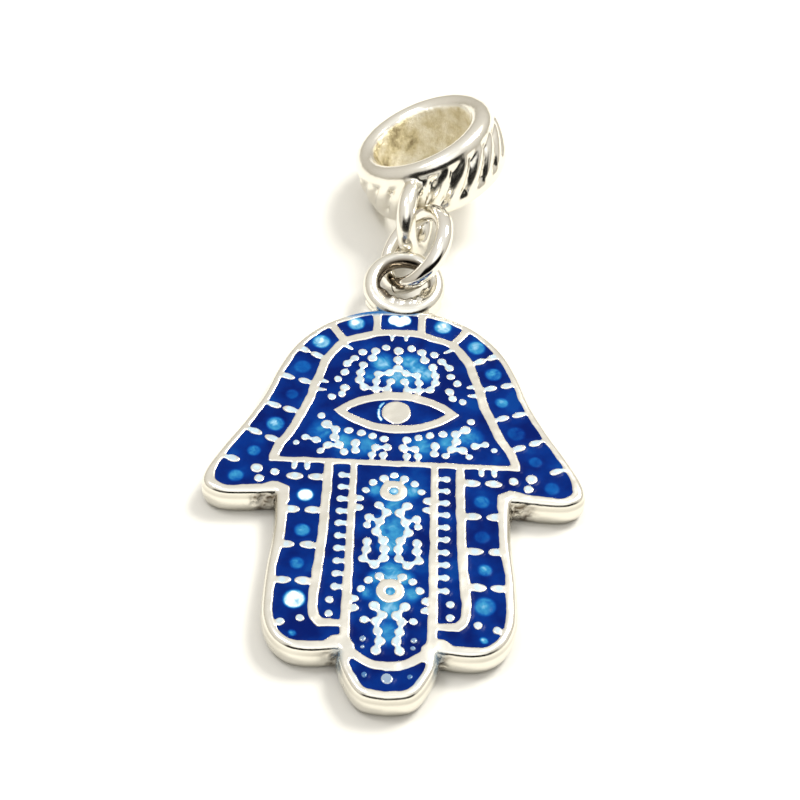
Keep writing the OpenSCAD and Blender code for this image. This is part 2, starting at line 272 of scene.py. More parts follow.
# %% Enamel material
enamel, tree, shader = new_material("cobalt enamel")
uneven = ranged(tree, noise(tree, 0.5, 4.0, Distortion=1.2), 0.3, 0.7, 0.7, 1.2)
drift = ranged(tree, noise(tree, 1.5, 3.0), 0.38, 0.66, 0.0, 0.2)
paleness = maths(tree, "ADD", times(tree, painted(tree, "thin"), uneven), drift)
blue = ramp(tree, paleness, (
    (0, "#001558"), (0.15, "#002873"), (0.36, "#0a4f96"), (0.56, "#3282ae"), (0.78, "#8ab8d0"),
    (1, "#dfe9f0")))
feed(shader, {"Base Color": blue, "Normal": bump(tree, noise(tree, 0.9, 2.0), 0.01),
              "Roughness": 0.2, "Specular IOR Level": 0.05})

# %% [markdown]
# ## The hand's outline
# The hand is symmetric, so half of its outline is a short list of chosen points from the dome over
# the flank and thumb to the fingertip, in millimetres from the middle of the eye. A smooth curve
# runs through them, and its mirror image closes it. A function insets any closed outline, which
# gives the rim and the rounded edge.

# %% Curves and outlines
def smooth(points, steps=6):
    """A smooth open curve through the given points."""
    p = np.array(points, float)
    p = np.vstack([p[0], p, p[-1]])
    out = []
    for a, b, c, d in zip(p, p[1:], p[2:], p[3:]):
        for t in np.arange(steps) / steps:
            out.append((2 * b + (c - a) * t + (2 * a - 5 * b + 4 * c - d) * t ** 2
                        + (3 * b - a - 3 * c + d) * t ** 3) / 2)
    return np.array(out + [p[-1]])


def both_halves(right):
    """The right half of a closed outline, from top to bottom, completed by its mirror image."""
    right = np.asarray(right, float)
    left = right[::-1] * [-1, 1]
    return np.vstack([right, left[np.abs(left[:, 0]) > 1e-4]])


def resample(loop, step):
    """A closed loop again, with points at even steps along it."""
    ring = np.vstack([loop, loop[:1]])
    along = np.concatenate([[0], np.cumsum(np.linalg.norm(np.diff(ring, axis=0), axis=1))])
    at = np.linspace(0, along[-1], int(along[-1] / step) + 1)[:-1]
    return np.stack([np.interp(at, along, ring[:, k]) for k in (0, 1)], axis=1)


def inset(loop, width):
    """A clockwise closed outline moved inward, or outward where the width is negative."""
    way = np.roll(loop, -1, axis=0) - loop
    way /= np.linalg.norm(way, axis=1)[:, None]
    right = np.stack([way[:, 1], -way[:, 0]], axis=1)
    both = right + np.roll(right, 1, axis=0)
    square = 1 + np.sum(right * np.roll(right, 1, axis=0), axis=1)
    return loop + np.reshape(width, (-1, 1)) * both / square[:, None]


def spots(points, marks, edge=0.7):
    """The strongest of several spots at each point; a mark has x, y, radius and strength."""
    value = np.zeros(len(points))
    for x, y, radius, strength in marks:
        far = np.hypot(points[:, 0] - x, points[:, 1] - y) / radius
        value = np.maximum(value, strength * np.clip((1 - far) / edge, 0, 1))
    return value


def mirrored(marks):
    """Marks and their mirror images; each mark starts with its x."""
    return [(s * x, *rest) for s in (1, -1) for x, *rest in marks]


flank = [(0, 6.4), (1.5, 6.3), (3, 5.66), (4, 4.85), (4.8, 3.8), (5.4, 2.4), (5.9, 0.8),
         (6.65, -0.85), (7.4, -2.25), (8, -3.55), (8.05, -4.3), (7.6, -4.72), (6.8, -4.86),
         (4.95, -4.72)]
side_finger = [(4.95, -4.72), (4.88, -6.5), (5.03, -8.6), (5.06, -10.3), (4.96, -11.05),
               (4.7, -11.68), (4.3, -12.12), (3.75, -12.4), (3, -12.47), (1.93, -12.35)]
middle_tip = [(1.93, -12.35), (1.87, -12.9), (1.72, -13.35), (1.3, -14.08), (0.82, -14.43),
              (0, -14.55)]
outline = resample(both_halves(np.vstack(
    [smooth(flank)[:-1], smooth(side_finger)[:-1], smooth(middle_tip)])), 0.1)
print("outline:", len(outline), "points,", np.ptp(outline, axis=0).round(2), "mm")

# %% [markdown]
# ## What is drawn on the hand
# A maker would draw the ornament on paper, cut it in relief into a master, and cast from that. Here
# it is the same: the drawing is a flat thing of its own, and a node tree later raises it out of the
# plate. It has lines of even width, dots and dashes, and a few closed bands such as the eyelid. The
# lists below hold its places on the right half, in millimetres.

# %% Lines of the drawing
frame_way = smooth([(0, 4.9), (0.9, 4.85), (1.6, 4.58), (2.4, 4.28), (2.9, 3.65), (3.25, 3),
                    (3.45, 2.25), (3.68, 1.44), (3.85, 0.6), (4.1, -0.1), (4.55, -1.3), (5, -2.15),
                    (5.22, -2.92)])
strip_way = np.vstack([smooth([(2.8, -2.92), (2.85, -6.5), (3, -9.2), (3.05, -10.2), (2.98, -10.8),
                               (2.7, -11.15)]), [(1.72, -11.15), (1.72, -2.92)]])
finger_way = np.vstack([[(1.72, -2.92)], smooth([
    (1.72, -11.8), (1.5, -12.35), (1, -12.78), (0.5, -13), (0, -13.06)])])
frame_loop, finger_loop = both_halves(frame_way), both_halves(finger_way)
line_half, wall_half, tuck = 0.2, 0.18, 0.02
lines = [(frame_loop, line_half, True), (finger_loop, line_half, True),
         *[(strip_way * [s, 1], line_half, True) for s in (1, -1)],
         *[(np.array(w) * [s, 1], wall_half, False) for s in (1, -1)
           for w in ([(1.03, 4.8), (1.05, 6.25)], [(2.45, 4.25), (3.4, 5.6)])]]

# %% [markdown]
# Dots and dashes are stamps: an oval with two half sizes and a turn. A dot's entry is its place and
# its diameter as a share of a common 0.4 mm dot. A bar lies between two places, a dash has a
# thinner tail, tabs sit on a line, and each strip has a row of dots on short legs. All stand in
# pairs, left and right of the middle line. Where two dots of the master stand close, a narrow neck
# joins them.

# %% Dots and dashes of the drawing
dots = np.array([
    (58, 392, 100), (105, 370, 105), (163, 358, 105), (197, 318, 100), (232, 281, 100),
    (238, 229, 100), (267, 187, 95), (234, 137, 108), (245, 95, 95), (290, 77, 90),
    (118, 322, 112), (157, 280, 105), (168, 230, 105), (169, 185, 105), (147, 142, 105),
    (0, 375, 112), (0, 319, 115), (0, 265, 115), (38, 237, 100), (87, 227, 100), (95, 181, 100),
    (96, 135, 100), (30, 184, 100), (45, 135, 100), (328, -36, 90), (303, -85, 120),
    (260, -112, 108), (265, -156, 108), (292, -203, 105), (242, -200, 100), (218, -238, 90),
    (320, -238, 82), (390, -164, 88), (343, -177, 100), (428, -196, 70), (205, -115, 95),
    (150, -127, 95), (100, -142, 95), (173, -185, 105), (170, -228, 100), (50, -156, 95),
    (35, -203, 105), (84, -206, 100), (98, -247, 90), (50, -247, 90), (0, -357, 88),
    (43, -376, 100), (89, -400, 90), (118, -442, 82), (60, -520, 105), (28, -558, 105),
    (53, -607, 105), (97, -587, 105), (105, -627, 90), (67, -660, 108), (35, -703, 108),
    (28, -747, 108), (30, -792, 108), (68, -825, 108), (103, -712, 100), (102, -753, 100),
    (113, -800, 100), (46, -884, 98), (90, -905, 90), (117, -948, 90), (62, -1027, 112),
    (28, -1070, 105), (50, -1100, 105), (43, -1147, 105), (32, -1192, 105), (47, -1235, 105),
    (98, -1095, 90), (101, -1183, 62), (97, -1220, 45), (87, -1348, 62), (0, -1362, 112),
    (585, -348, 125), (570, -402, 105), (507, -364, 105), (352, -1100, 88), (427, -1120, 88)]) / 100
bars = [((2.1, 3.75), (2.5, 4), 0.1), ((3.15, 1.67), (3.55, 1.72), 0.1),
        ((3.2, 1.17), (3.72, 1.2), 0.1), ((0.33, 4.42), (0.33, 4.8), 0.1),
        ((3.9, -1.64), (3.43, -1.77), 0.08), ((0.98, -2.47), (0.98, -2.85), 0.08),
        ((0.5, -2.47), (0.5, -2.85), 0.08), ((4.27, -3.05), (4.27, -3.4), 0.13),
        ((3.72, -3.05), (3.72, -3.4), 0.13),
        *[((x, y), (1.6, y), 0.17)
          for x, y in ((1.3, -4.88), (1.29, -5.37), (1.3, -9.96), (1.3, -10.42))]]
dashes = [(4.3, 3.6, 3.7, 3.28), (4.9, 1.88, 4.15, 1.66), (5.38, 0.15, 4.68, -0.08),
          (6.06, -1.44, 5.35, -1.77), (6.9, -3, None, None)]
tabs = [(4.22, 3.3, -3.82), (4.25, 3.32, -5.6), (4.32, 3.4, -7.4), (4.37, 3.5, -9.2)]
dot_half, row_half, tab_long, tab_wide = 0.2, 0.17, 0.37, 0.19
dash_long, dash_wide, tail_far, tail_long, tail_wide = 0.31, 0.17, 0.24, 0.22, 0.1
row_top, row_step, leg_start, leg_wide = -3.67, 0.64, 1.85, 0.11
neck_long, neck_wide = 0.26, 0.09
stamps = [(s * x, y, dot_half * d - tuck, dot_half * d - tuck, 0)
          for x, y, d in dots for s in ((1, -1) if x else (1,))]
for s in (1, -1):
    for (ax, ay), (bx, by), half in bars:
        stamps.append((s * (ax + bx) / 2, (ay + by) / 2, hypot(bx - ax, by - ay) / 2 + 0.05,
                       half - tuck, s * atan2(by - ay, bx - ax)))
    for ax, ay, bx, by in dashes:
        turn = 0.3 if bx is None else atan2(ay - by, ax - bx)
        for x, y, way in ((ax, ay, tail_far), (bx, by, -tail_far))[:1 if bx is None else 2]:
            stamps += [(s * x, y, dash_long - tuck, dash_wide - tuck, s * turn),
                       (s * (x + way * cos(turn)), y + way * sin(turn), tail_long,
                        tail_wide - tuck, s * turn)]
    for ax, bx, y in tabs:
        stamps += [(s * x, y, tab_long - tuck, tab_wide - tuck, 0) for x in (ax, bx)]
    for i in range(12):
        x, y = 2.22 if i < 10 else 2.4, row_top - row_step * i
        stamps.append((s * x, y, row_half - tuck, row_half - tuck, 0))
        if i < 10:
            stamps.append((s * (x + leg_start) / 2, y, (x - leg_start) / 2, leg_wide - tuck, 0))
for i, (ax, ay, a_size) in enumerate(dots):
    for bx, by, b_size in dots[:i]:
        reach = 0.515 if ay > -3 else 0.56
        if min(a_size, b_size) >= 1 and hypot(bx - ax, by - ay) < reach:
            stamps += [(s * (ax + bx) / 2, (ay + by) / 2, neck_long, neck_wide - tuck,
                        s * atan2(by - ay, bx - ax)) for s in (1, -1)]
stamps = np.array(stamps)
print("drawing:", len(lines), "lines,", len(stamps), "stamps")

# %% [markdown]
# Two node trees turn these lists into the flat drawing. Stamps become ovals: Instance on Points
# puts one small disc on every point and takes its size and turn from the point. Lines become
# ribbons: Curve to Mesh sweeps a short profile and scales it to the line's width. Both stop a
# little inside the true edge, because the relief's rounded shoulder starts there.

# %% Tree that lays out the stamps
tree, given = new_tree("Stamp the ovals", Int="corners")
disc = add(tree, "GeometryNodeMeshCircle", {"Vertices": given["corners"]},
           fill_type="TRIANGLE_FAN")
size, turn = (stored(tree, name, "FLOAT_VECTOR") for name in ("size", "turn"))
close_tree(tree, given, add(tree, "GeometryNodeInstanceOnPoints", {
    "Points": given[0], "Instance": disc, "Scale": size, "Rotation": turn}))

places = np.column_stack([stamps[:, :2], np.zeros(len(stamps))])
ovals = make_mesh("ovals", places)
put_attribute(ovals, "size", np.column_stack([stamps[:, 2:4], np.ones(len(stamps))]))
put_attribute(ovals, "turn", np.column_stack([np.zeros_like(stamps[:, :2]), stamps[:, 4]]))
run_tree(ovals, tree, corners=14, material=casting)
print("ovals:", len(ovals.data.polygons), "faces")

# %% Tree that draws the ribbons
tree, given = new_tree("Draw the ribbons")
paths = add(tree, "GeometryNodeMeshToCurve", {0: given[0]})
upright = add(tree, "GeometryNodeSetCurveNormal", {0: paths}, mode="Z_UP")
profile = add(tree, "GeometryNodeCurvePrimitiveLine", {"Start": (-1, 0, 0), "End": (1, 0, 0)})
close_tree(tree, given, add(tree, "GeometryNodeCurveToMesh", {
    "Curve": upright, "Profile Curve": profile, "Scale": stored(tree, "half")}))

points, edges, halves = [], [], []
for way, half_width, closed in lines:
    first, count = len(points), len(way)
    points += [(*p, 0) for p in way]
    halves += [half_width - tuck] * count
    edges += [(first + i, first + (i + 1) % count) for i in range(count if closed else count - 1)]
ribbons = make_mesh("ribbons", points, edges=edges)
put_attribute(ribbons, "half", halves)
run_tree(ribbons, tree, material=casting)
print("ribbons:", len(ribbons.data.polygons), "faces")

# %% [markdown]
# The rim, the eyelid, the pupil and the two rings of the middle finger are closed bands between two
# loops with the same number of points, so a plain loop of faces makes them.

# %% Bands of the drawing
def almond(half_width, half_height, n=14):
    """A pointed oval of two equal arcs, clockwise from its left corner."""
    radius = (half_width ** 2 + half_height ** 2) / (2 * half_height)
    turn = np.linspace(-1, 1, n + 1) * asin(half_width / radius)
    top = np.stack([radius * np.sin(turn), half_height - radius + radius * np.cos(turn)], axis=1)
    return np.vstack([top, top[-2:0:-1] * [1, -1]])


def circle(x, y, radius, n=32):
    """A circle, clockwise from its top."""
    turn = np.arange(n) * 2 * pi / n
    return np.stack([x + radius * np.sin(turn), y + radius * np.cos(turn)], axis=1)


eye_hole, eye_lid = almond(2.2, 0.75), almond(2.77, 1.2)
rim = mirrored([
    (7.9, -4.2, 1.2, 0.14), (6, -4.8, 1.2, 0.08), (4.95, -4.9, 0.8, 0.2), (4.9, -6.6, 2.4, 0.12),
    (5.05, -9.6, 2, 0.06), (1.93, -12.4, 0.6, 0.28), (3, -12.5, 1, 0.06)])
rim_width = 0.37 - tuck + spots(outline, rim)
bands = [(inset(outline, -0.3), inset(outline, rim_width)),
         (inset(eye_lid, tuck), inset(eye_hole, -tuck)),
         (circle(0, 0, 0.65 - tuck), circle(0, 0, 0.01)),
         *[(circle(0, y, 0.57 - tuck), circle(0, y, 0.2 + tuck)) for y in (-4.43, -9.53)]]
points, faces = [], []
for outer, inner in bands:
    first, n = len(points), len(outer)
    points += [(*p, 0) for p in np.vstack([outer, inner])]
    faces += [(first + i, first + (i + 1) % n, first + n + (i + 1) % n, first + n + i)
              for i in range(n)]
closed_bands = make_mesh("closed_bands", points, faces)
print("bands:", len(faces), "faces")

# %% [markdown]
# ## The plate
# A cast plate has no sharp edge. Its top sheet is triangulated from points that lie close together
# near the drawing and far apart in the cells, where enamel hides the metal. The rim then rolls over
# into the side wall, and the flat back closes it.

# %% Points of the plate's top
def joined(*objects):
    """The points and faces of several meshes as one."""
    points, faces = [], []
    for obj in objects:
        faces += [[len(points) + i for i in f.vertices] for f in obj.data.polygons]
        points += [tuple(v.co) for v in obj.data.vertices]
    return points, faces


def hexagonal(step, low, high):
    """Points of a triangular grid between two corners, and which of them make a sparser grid."""
    squeeze = 0.866
    rows, columns = int((high[1] - low[1]) / (step * squeeze)), int((high[0] - low[0]) / step)
    j, i = np.mgrid[0:rows, 0:columns]
    grid = np.stack([low[0] + (i + 0.5 * (j % 2)) * step, low[1] + j * step * squeeze], axis=-1)
    return grid.reshape(-1, 2), ((i % 3 == 0) & (j % 3 == 0)).ravel()


def inside(points, loop):
    """Which points lie inside a closed loop, by counting crossings."""
    x, y = points[:, 0], points[:, 1]
    odd = np.zeros(len(points), bool)
    for (ax, ay), (bx, by) in zip(loop, np.roll(loop, -1, axis=0)):
        if ay != by:
            crosses = (ay > y) != (by > y)
            odd ^= crosses & (x < (bx - ax) * (y - ay) / (by - ay) + ax)
    return odd


def to_metal(points):
    """How far each point of the ground lies from the drawing."""
    return np.array([metal.find_nearest((x, y, 0))[3] for x, y in points])


metal = BVHTree.FromPolygons(*joined(ovals, ribbons, closed_bands))
edge_round, plate_top, cell_floor = 0.24, 1.4, 1.05
fine_step, fine_reach = 0.048, 0.17
top_edge = inset(outline, edge_round)
grid, sparse = hexagonal(fine_step, outline.min(0), outline.max(0))
keep = inside(grid, inset(outline, edge_round + 0.04))
grid, sparse = grid[keep], sparse[keep]
grid = grid[(to_metal(grid) < fine_reach) | sparse]
print("top points:", len(grid))

# %% Top sheet, rim, side wall and back
def triangulate(loop, inner):
    """Triangles that fill a closed loop through the inner points."""
    points = [Vector(p) for p in np.vstack([loop, inner])]
    made = delaunay_2d_cdt(points, [], [list(range(len(loop)))], 1, 1e-7)
    return np.array([tuple(p) for p in made[0]]), [tuple(f) for f in made[2]]


flat, faces = triangulate(top_edge[::-1], grid)
count, n = len(flat), len(outline)
points = [(x, y, plate_top) for x, y in flat]
profile = [(edge_round * (1 - sin(t)), plate_top - edge_round * (1 - cos(t)))
           for t in np.radians(np.linspace(0, 90, 7))[1:]]
profile += [(-0.03, 1.04), (-0.055, 0.92), (-0.07, 0.8), (-0.075, 0.68), (-0.07, 0.56),
            (-0.055, 0.44), (-0.03, 0.32), (0.005, 0.2), (0.04, 0.1), (0.1, 0.03), (0.2, 0)]
previous = list(range(n))[::-1]
for width, z in profile:
    ring = list(range(len(points), len(points) + n))
    points += [(*p, z) for p in inset(outline, width)]
    faces += [(previous[i], previous[(i + 1) % n], ring[(i + 1) % n], ring[i]) for i in range(n)]
    previous = ring
faces.append(tuple(previous[::-1]))
plate = make_mesh("plate", points, faces)
put_attribute(plate, "on top", np.arange(len(points)) < count)
print("plate:", len(points), "points,", len(faces), "faces")

# %% [markdown]
# ## Raising the relief
# The next tree does the carver's work. Geometry Proximity measures how far each point of the top
# lies from the flat drawing. Close by it stays up; over the width of a shoulder it drops to the
# floor of the cell. The place that is measured is pushed about by a noise first, so the lines waver
# as hand-carved ones do. Where the point is on a stamp, the tree writes a veil, and the side wall
# gets the rough flash that casting leaves in the notches between the fingers.

# %% Tree that raises the drawing
def noise_offset(tree, size_mm, amount, detail=2.0):
    """A random vector that changes smoothly over the surface, to move points or places by."""
    spread = add(tree, "ShaderNodeTexNoise", {"Scale": 1 / size_mm, "Detail": detail})
    middle = vectors(tree, "SUBTRACT", spread.outputs["Color"], (0.5, 0.5, 0.5))
    return add(tree, "ShaderNodeVectorMath", {0: middle, "Scale": amount}, operation="SCALE")


def moved(tree, geometry, offset, **more):
    """The geometry with its points moved by an offset."""
    return add(tree, "GeometryNodeSetPosition", {"Geometry": geometry, "Offset": offset, **more})


def distance_to(tree, thing, place, element="FACES"):
    """Distance from a place to another object's faces or points."""
    shape = add(tree, "GeometryNodeObjectInfo", {"Object": thing}, transform_space="ORIGINAL")
    return add(tree, "GeometryNodeProximity",
               {"Target": shape.outputs["Geometry"], "Source Position": place},
               target_element=element).outputs["Distance"]


def measure(tree, given):
    """A point, its height, its wavering place on the ground, and how far the drawing is there."""
    here = add(tree, "GeometryNodeInputPosition")
    apart = add(tree, "ShaderNodeSeparateXYZ", {0: here})
    ground = add(tree, "ShaderNodeCombineXYZ", {0: apart.outputs[0], 1: apart.outputs[1]})
    push = vectors(tree, "MULTIPLY", noise_offset(tree, 0.55, given["waver"]), (1, 1, 0))
    place = vectors(tree, "ADD", ground, push)
    far = (distance_to(tree, given[name], place) for name in ("stamps", "lines"))
    return here, apart.outputs[2], place, *far


relief_tree, given = new_tree("Raise the drawing", Object="stamps middles lines notches",
                              Float="height shoulder waver flash")
tree = relief_tree
here, height, place, to_stamp, to_line = measure(tree, given)
drop = ranged(tree, maths(tree, "MINIMUM", to_stamp, to_line), 0.0, given["shoulder"], 0.0,
              given["height"], "SMOOTHERSTEP")
soft = add(tree, "GeometryNodeBlurAttribute", {"Value": drop})
swell = add(tree, "ShaderNodeTexNoise", {"Scale": 1 / 0.9, "Detail": 1.0})
down = maths(tree, "SUBTRACT", ranged(tree, swell, 0.3, 0.7, -0.012, 0.012), soft)
on_top = stored(tree, "on top")
raised = moved(tree, given[0], add(tree, "ShaderNodeCombineXYZ", {2: down}), Selection=on_top)
to_middle = distance_to(tree, given["middles"], place, "POINTS")
veil = times(tree, ranged(tree, to_middle, 0.1, 0.17, 1.0, 0.25),
             ranged(tree, to_stamp, 0.0, 0.04, 1.0, 0.0), ranged(tree, to_line, 0.02, 0.09), on_top)
veiled = add(tree, "GeometryNodeStoreNamedAttribute",
             {"Geometry": raised, "Name": "veil", "Value": veil}, data_type="FLOAT", domain="POINT")
to_notch = distance_to(tree, given["notches"], here, "POINTS")
rough = times(tree, ranged(tree, height, 0.1, 0.45), ranged(tree, height, 1.1, 1.35, 1.0, 0.0),
              ranged(tree, to_notch, 0.25, 0.8, given["flash"], 0.0))
close_tree(tree, given, moved(tree, veiled, noise_offset(tree, 0.22, rough, 3.0)))

# %% Raise the drawing out of the plate
drawn_lines = make_mesh("drawn_lines", *joined(ribbons, closed_bands))
notch_places = mirrored([(5.05, -4.8, 0.75), (5.5, -4.88, 0.75), (1.95, -12.4, 0.7)])
notches, middles = make_mesh("notches", notch_places), make_mesh("middles", places)
run_tree(plate, relief_tree, stamps=ovals, middles=middles, lines=drawn_lines, notches=notches,
         height=plate_top - cell_floor, shoulder=0.2, waver=0.12, flash=0.45, material=casting)
heights = np.array([v.co.z for v in plate.data.vertices])
print("plate: z from", heights.min().round(3), "to", heights.max().round(3), "mm")

# %% [markdown]
# A smear of teal enamel stayed on the rim at the top of the dome. The small dots at the fingertip
# lie under a blue film, and more of it runs down both sides of the middle finger. Painted shade
# darkens the metal below the rolled rim, at the foot of the wall and in the notches. All are
# painted on the mesh's points.

# %% Smear and painted shade on the plate
where_points = np.array([v.co for v in plate.data.vertices])
smears = [(px, 6.33 - 0.05 * px * px, 0.42, 1.3) for px in np.linspace(-2.3, 0.6, 14)]
smears += mirrored([
    (0, -13.62, 0.5, 0.72), (0.87, -13.48, 0.5, 0.95), (1.01, -11.83, 0.3, 0.8),
    (0.97, -12.2, 0.3, 0.8), *[(2, -12.5 - 0.28 * k, 0.3, 0.55) for k in range(4)]])
x, y, z = where_points.T
high_up = np.clip((z - 0.6) / 0.6, 0, 1)
put_attribute(plate, "smear", np.clip(spots(where_points, smears), 0, 1) * high_up)
# Painted shade: a band under the rolled rim, the foot of the wall and the notches are darkened.
under_rim = np.exp(-((z - 1.09) / 0.07) ** 2) * (0.5 + 0.3 * np.sin(1.9 * x) * np.sin(1.3 * y))
at_foot = 0.4 * np.clip((0.45 - z) / 0.3, 0, 1)
broken = 0.5 + 0.5 * np.sin(9 * x + 7 * z) * np.sin(11 * y + 13 * z)
in_notch = spots(where_points, [(*notch[:2], 0.6, 1.0) for notch in notch_places])
in_notch *= np.clip((1.3 - z) / 0.15, 0, 1) * broken
put_attribute(plate, "painted_shade", np.clip(under_rim + at_foot + in_notch, 0, 1))

# %% [markdown]
# ## Pouring the enamel
# Each cell gets its own sheet of glass. One triangulation of the whole hand is sorted into cells by
# the lines between them. Every triangle that lies wholly under the metal is dropped, which leaves a
# hole for each dot. Enamel wets the metal: it stands a little higher along every edge, sags in the
# middle of a cell, and bulges over the low dots that it covers, where it is thin and so its blue is
# pale. A tree gives each sheet that surface, and Solidify its thickness.

# %% Low dots and thin places
low_dots = np.array([
    (2, 5.4, 0.4), (3.55, 4.16, 0.41), (4.3, 2.55, 0.38), (4.65, 0.85, 0.29), (5.25, -0.92, 0.4),
    (6.05, -2.5, 0.29), (6.7, -3.92, 0.33), (3.7, -4.8, 0.33), (3.71, -6.65, 0.33),
    (3.82, -8.32, 0.29), (3.8, -10.08, 0.44), (3.75, -11.72, 0.15)])
left_shade = [0.95, 0.78, 0.12, 0.1, 0.72, 0.4, 0.42, 1.15, 0.6, 0.52, 1.2, 0.6]
right_shade = [0.9, 0.55, 0.62, 0.42, 0.1, 0.22, 0.12, 0.3, 0.1, 0.5, 0.45, 0.6]
enamel_level = 1.35
covered = [(0, 5.68, enamel_level), *mirrored([(x, y, enamel_level) for x, y, r in low_dots])]
covered_dots = make_mesh("covered_dots", covered)
discs = [(x, y, 0.33, 1.1) for x, y in ((-0.24, 5.73), (0.24, 5.73), (0, 5.6))]
discs += [(-0.79 * cos(t), 0.79 * sin(t), 0.065, 0.85) for t in np.linspace(-0.6, 0.75, 14)]
thin_marks = [
    (-0.7, 3.0, 0.7, 0.5), (0.5, 3.1, 0.7, 0.55), (0.9, 2.7, 0.7, 0.52), (1.3, 2.4, 0.6, 0.48),
    (0.1, 2.2, 1.0, 0.42), (-1.2, 2.2, 0.6, 0.35), (-3.15, -1.3, 0.8, 0.4), (3.15, -1.3, 0.8, 0.42),
    (-2.2, -1.7, 0.8, 0.36), (2.3, -1.6, 0.8, 0.36)]
for s, shades in ((1, left_shade), (-1, right_shade)):
    for (x, y, r), shade in zip(low_dots, shades):
        discs.append((-s * x, y, r * 1.1, 0.15 + 0.45 * min(shade, 1) + 0.3 * (shade > 1)))
        thin_marks.append((-s * x - 0.06, y + 0.05, r, shade))
thin_marks += [(0, y, r, v) for y, r, v in (
    (-4.43, 1.1, 0.44), (-4.4, 0.3, 0.7), (-5.3, 0.7, 0.42), (-6.4, 0.95, 0.54), (-7.3, 0.7, 0.46),
    (-8.6, 0.95, 0.56), (-9.53, 1.15, 0.44), (-10.4, 0.75, 0.48), (-11.5, 0.8, 0.36))]
thin_marks += mirrored([(1.2, -1.9, 0.8, 0.36), (0.75, -4.4, 0.5, 0.44), (0.6, -8.9, 0.5, 0.48),
                        (0.9, -9.6, 0.5, 0.42), (0.5, -6.1, 0.5, 0.36)])

# %% Tree that pours one cell
pour_tree, given = new_tree("Pour the enamel", Object="stamps lines covered",
                            Float="climb sag bulge waver")
tree = pour_tree
here, *_, to_stamp, to_line = measure(tree, given)
nearest = maths(tree, "MINIMUM", to_stamp, to_line)
climb = ranged(tree, nearest, 0.04, 0.17, given["climb"], 0.0, "SMOOTHSTEP")
sag = ranged(tree, nearest, 0.1, 0.6, 0.0, given["sag"], "SMOOTHSTEP")
to_dot = distance_to(tree, given["covered"], here, "POINTS")
bulge = ranged(tree, to_dot, 0.12, 0.42, given["bulge"], 0.0, "SMOOTHSTEP")
rise = maths(tree, "SUBTRACT", maths(tree, "ADD", climb, bulge), sag)
close_tree(tree, given, moved(tree, given[0], add(tree, "ShaderNodeCombineXYZ", {2: rise})))

# %% Sort the glass into its cells
glass_step, glass_inset = 0.07, 0.3
grid = hexagonal(glass_step, outline.min(0), outline.max(0))[0]
grid = grid[inside(grid, inset(outline, glass_inset + 0.03))]
flat, faces = triangulate(inset(outline, glass_inset)[::-1], grid)
faces = np.array(faces)
under = to_metal(flat) < 1e-3
faces = faces[~under[faces].all(axis=1)]
middle = flat[faces].mean(axis=1)
x, y = middle[:, 0], middle[:, 1]
eye_middle = (eye_hole + eye_lid) / 2
in_frame, in_eye, in_finger = (inside(middle, way) for way in (frame_loop, eye_middle, finger_loop))
in_strip = {s: inside(middle * [s, 1], strip_way) for s in (1, -1)}
left = x < 0
cells = {"eye": in_eye, "palm": in_frame & ~in_eye, "middle_finger": in_finger,
         "strip_right": in_strip[1], "strip_left": in_strip[-1]}
taken = np.any(list(cells.values()), axis=0)
cells["crown"] = ~taken & (np.abs(x) < 1.07) & (y > 4.5)
cells["fingertip"] = ~taken & (y < -12.45) & (np.abs(x) < 1.9)
taken |= cells["crown"] | cells["fingertip"]
cells["band_left"], cells["band_right"] = ~taken & left, ~taken & ~left

# %% Pour every cell
def without_pinches(faces):
    """Leaves out the triangles round each point where glass would hang on glass by one corner."""
    while True:
        pairs = np.sort(np.vstack([faces[:, [0, 1]], faces[:, [1, 2]], faces[:, [2, 0]]]), axis=1)
        edges, uses = np.unique(pairs, axis=0, return_counts=True)
        ends, borders = np.unique(edges[uses == 1], return_counts=True)
        pinched = ends[borders > 2]
        if not len(pinched):
            return faces
        faces = faces[~np.isin(faces, pinched).any(axis=1)]


floor_gap = 0.03
poured_cells = {}
for cell, chosen in sorted(cells.items()):
    used, index = np.unique(without_pinches(faces[chosen]), return_inverse=True)
    points = np.column_stack([flat[used], np.full(len(used), enamel_level)])
    glass = make_mesh("glass_" + cell, points, index.reshape(-1, 3))
    thin = np.maximum(spots(flat[used], thin_marks), spots(flat[used], discs, 0.25))
    put_attribute(glass, "thin", thin)
    run_tree(glass, pour_tree, stamps=ovals, lines=drawn_lines, covered=covered_dots, climb=0.022,
             sag=0.02, bulge=0.03, waver=0.12, material=enamel)
    wall = glass.modifiers.new("thickness", "SOLIDIFY")
    wall.thickness, wall.offset = enamel_level - cell_floor - floor_gap, -1
    bake(glass)
    poured_cells[cell] = glass
    print("glass of", cell, len(glass.data.polygons), "faces")

# %% [markdown]
# ## The loop at the top
# The loop is cast with the plate and leans up a little. It has round shoulders where it grows out
# of the dome, and lumps along its near arc. Several closed shapes become one skin by a voxel
# Remesh, and a Smooth modifier rounds the creases between them, as the fillets of a casting would
# be.

# %% Lathe, rings and fused skin
def lathe(name, profile, steps=128):
    """A closed profile of radius and height, turned about the Z axis."""
    n, points, faces = len(profile), [], []
    for i in range(steps):
        turn = 2 * pi * i / steps
        points += [(r * cos(turn), r * sin(turn), z) for r, z in profile]
        a, b = i * n, (i + 1) % steps * n
        faces += [(a + j, b + j, b + (j + 1) % n, a + (j + 1) % n) for j in range(n)]
    return make_mesh(name, points, faces)


def ring_mesh(name, middle_radius, wire_radius, steps=96, around=20):
    """A closed ring of round metal about the Z axis."""
    rolls = [2 * pi * j / around for j in range(around)]
    return lathe(name, [(middle_radius + wire_radius * cos(roll), wire_radius * sin(roll))
                        for roll in rolls], steps)


def ball(radius, rings=12):
    """A round ball at the origin."""
    bpy.ops.mesh.primitive_uv_sphere_add(segments=20, ring_count=rings, radius=radius)
    return bpy.context.active_object


